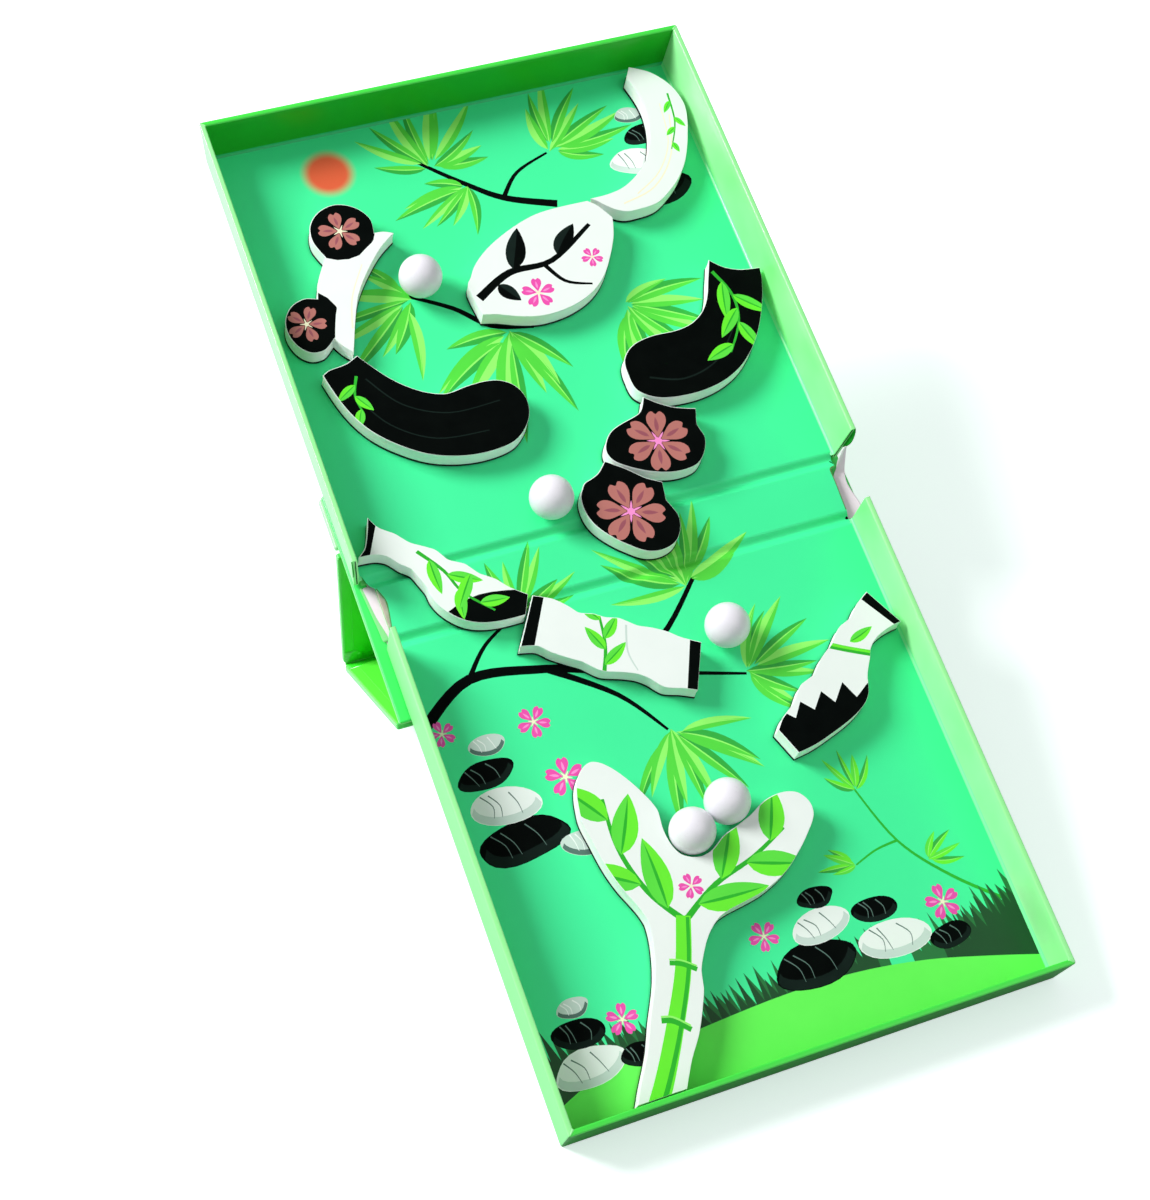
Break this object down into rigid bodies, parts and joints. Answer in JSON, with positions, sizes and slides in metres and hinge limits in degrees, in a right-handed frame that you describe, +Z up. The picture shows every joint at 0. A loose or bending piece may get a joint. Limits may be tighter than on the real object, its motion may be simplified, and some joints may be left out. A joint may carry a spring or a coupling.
{
  "type": "magnetic maze puzzle",
  "caption": "Folding magnetic maze puzzle open on its easel, with magnet-backed channel pieces and white balls on a teal printed playing surface.",
  "frame": {"origin": "centre of the outer box in plan, at the level of the surface it stands on", "axes": "+X across the board to the right, +Y away from the player up the leaned board, +Z up"},
  "size_m": [0.2, 0.3924, 0.1477],
  "materials": {
    "green_wrap": "satin printed paper over board",
    "pale_wrap": "satin printed paper over board",
    "printed_paper": "satin print",
    "grey_board": "raw board",
    "steel_sheet": "bare sheet",
    "white_liner": "matte white",
    "easel_card": "satin printed paper over board",
    "lime_card": "satin printed paper over board",
    "magnet_sheet": "matte",
    "white_foam": "matte foam",
    "printed_card": "satin print",
    "white_ball": "smooth satin white"
  },
  "bodies": {
    "base": {"base_left_wall": "pale_wrap", "base_right_wall": "pale_wrap", "base_bottom_wall": "green_wrap", "base_floor_board": "green_wrap", "base_steel_sheet": "steel_sheet", "base_floor_print": "printed_paper"},
    "lid": {"lid_left_wall": "pale_wrap", "lid_right_wall": "pale_wrap", "lid_top_wall": "green_wrap", "lid_floor_board": "green_wrap", "lid_steel_sheet": "steel_sheet", "lid_floor_print": "printed_paper"},
    "spine": {"spine_wrap": "green_wrap", "spine_board": "grey_board", "spine_print": "printed_paper"},
    "stand": {"stand_plate_liner": "white_liner", "stand_plate": "easel_card", "stand_tab": "pale_wrap"},
    "leg": {"leg_panel": "easel_card"},
    "foot": {"foot_panel": "lime_card"},
    "lobed_arc": {"lobed_arc_magnet": "magnet_sheet", "lobed_arc_foam": "white_foam", "lobed_arc_print": "printed_card"},
    "bean": {"bean_magnet": "magnet_sheet", "bean_foam": "white_foam", "bean_print": "printed_card"},
    "cut_oval": {"cut_oval_magnet": "magnet_sheet", "cut_oval_foam": "white_foam", "cut_oval_print": "printed_card"},
    "crescent": {"crescent_magnet": "magnet_sheet", "crescent_foam": "white_foam", "crescent_print": "printed_card"},
    "bent_arm": {"bent_arm_magnet": "magnet_sheet", "bent_arm_foam": "white_foam", "bent_arm_print": "printed_card"},
    "upper_pebble": {"upper_pebble_magnet": "magnet_sheet", "upper_pebble_foam": "white_foam", "upper_pebble_print": "printed_card"},
    "lower_pebble": {"lower_pebble_magnet": "magnet_sheet", "lower_pebble_foam": "white_foam", "lower_pebble_print": "printed_card"},
    "s_band": {"s_band_magnet": "magnet_sheet", "s_band_foam": "white_foam", "s_band_print": "printed_card"},
    "wavy_band": {"wavy_band_magnet": "magnet_sheet", "wavy_band_foam": "white_foam", "wavy_band_print": "printed_card"},
    "curved_band": {"curved_band_magnet": "magnet_sheet", "curved_band_foam": "white_foam", "curved_band_print": "printed_card"},
    "fork_catcher": {"fork_catcher_magnet": "magnet_sheet", "fork_catcher_foam": "white_foam", "fork_catcher_print": "printed_card"},
    "ball_1": {"ball_1": "white_ball"},
    "ball_2": {"ball_2": "white_ball"},
    "ball_3": {"ball_3": "white_ball"},
    "ball_4": {"ball_4": "white_ball"},
    "ball_5": {"ball_5": "white_ball"}
  },
  "joints": [
    {"name": "spine_fold", "type": "hinge", "parent": "base", "child": "spine", "pos_m": [0, -0.01043, 0.0583], "axis": [1, 0, 0], "range_deg": [0, 90]},
    {"name": "lid_fold", "type": "hinge", "parent": "spine", "child": "lid", "pos_m": [0, 0.01334, 0.06605], "axis": [1, 0, 0], "range_deg": [0, 90]},
    {"name": "stand_off", "type": "slide", "parent": "base", "child": "stand", "axis": [0, 0.31, -0.9507], "range_m": [0, 0.035]},
    {"name": "leg_hinge", "type": "hinge", "parent": "stand", "child": "leg", "pos_m": [0, 0.0336, 0.06551], "axis": [1, 0, 0], "range_deg": [0, 107.1]},
    {"name": "foot_hinge", "type": "hinge", "parent": "leg", "child": "foot", "pos_m": [0, 0.03127, 0.00247], "axis": [1, 0, 0], "range_deg": [0, 124.2]},
    {"name": "lobed_arc_lift", "type": "slide", "parent": "lid", "child": "lobed_arc", "axis": [0, 0.31, -0.9507], "range_m": [-0.04, 0]},
    {"name": "bean_lift", "type": "slide", "parent": "lid", "child": "bean", "axis": [0, 0.31, -0.9507], "range_m": [-0.04, 0]},
    {"name": "cut_oval_lift", "type": "slide", "parent": "lid", "child": "cut_oval", "axis": [0, 0.31, -0.9507], "range_m": [-0.04, 0]},
    {"name": "upper_pebble_lift", "type": "slide", "parent": "lid", "child": "upper_pebble", "axis": [0, 0.31, -0.9507], "range_m": [-0.04, 0]},
    {"name": "curved_band_lift", "type": "slide", "parent": "base", "child": "curved_band", "axis": [0, 0.31, -0.9507], "range_m": [-0.04, 0]},
    {"name": "fork_catcher_lift", "type": "slide", "parent": "base", "child": "fork_catcher", "axis": [0, 0.31, -0.9507], "range_m": [-0.04, 0]},
    {"name": "crescent_clear", "type": "slide", "parent": "spine", "child": "crescent", "axis": [0, -0.31, 0.9507], "range_m": [0, 0.51]},
    {"name": "bent_arm_clear", "type": "slide", "parent": "spine", "child": "bent_arm", "axis": [0, -0.31, 0.9507], "range_m": [0, 0.51]},
    {"name": "lower_pebble_clear", "type": "slide", "parent": "spine", "child": "lower_pebble", "axis": [0, -0.31, 0.9507], "range_m": [0, 0.51]},
    {"name": "s_band_clear", "type": "slide", "parent": "spine", "child": "s_band", "axis": [0, -0.31, 0.9507], "range_m": [0, 0.51]},
    {"name": "wavy_band_clear", "type": "slide", "parent": "spine", "child": "wavy_band", "axis": [0, -0.31, 0.9507], "range_m": [0, 0.51]},
    {"name": "ball_1_clear", "type": "slide", "parent": "spine", "child": "ball_1", "axis": [0, -0.31, 0.9507], "range_m": [0, 0.51]},
    {"name": "ball_2_clear", "type": "slide", "parent": "spine", "child": "ball_2", "axis": [0, -0.31, 0.9507], "range_m": [0, 0.51]},
    {"name": "ball_3_clear", "type": "slide", "parent": "spine", "child": "ball_3", "axis": [0, -0.31, 0.9507], "range_m": [0, 0.51]},
    {"name": "ball_4_clear", "type": "slide", "parent": "spine", "child": "ball_4", "axis": [0, -0.31, 0.9507], "range_m": [0, 0.51]},
    {"name": "ball_5_clear", "type": "slide", "parent": "spine", "child": "ball_5", "axis": [0, -0.31, 0.9507], "range_m": [0, 0.51]}
  ],
  "couplings": [
    {"joint": "lid_fold", "follows": "spine_fold", "ratio": 1},
    {"joint": "foot_hinge", "follows": "leg_hinge", "ratio": 1.1596},
    {"joint": "crescent_clear", "follows": "spine_fold", "m_per_rad": 0.32},
    {"joint": "bent_arm_clear", "follows": "spine_fold", "m_per_rad": 0.32},
    {"joint": "lower_pebble_clear", "follows": "spine_fold", "m_per_rad": 0.32},
    {"joint": "s_band_clear", "follows": "spine_fold", "m_per_rad": 0.32},
    {"joint": "wavy_band_clear", "follows": "spine_fold", "m_per_rad": 0.32},
    {"joint": "ball_1_clear", "follows": "spine_fold", "m_per_rad": 0.32},
    {"joint": "ball_2_clear", "follows": "spine_fold", "m_per_rad": 0.32},
    {"joint": "ball_3_clear", "follows": "spine_fold", "m_per_rad": 0.32},
    {"joint": "ball_4_clear", "follows": "spine_fold", "m_per_rad": 0.32},
    {"joint": "ball_5_clear", "follows": "spine_fold", "m_per_rad": 0.32}
  ]
}
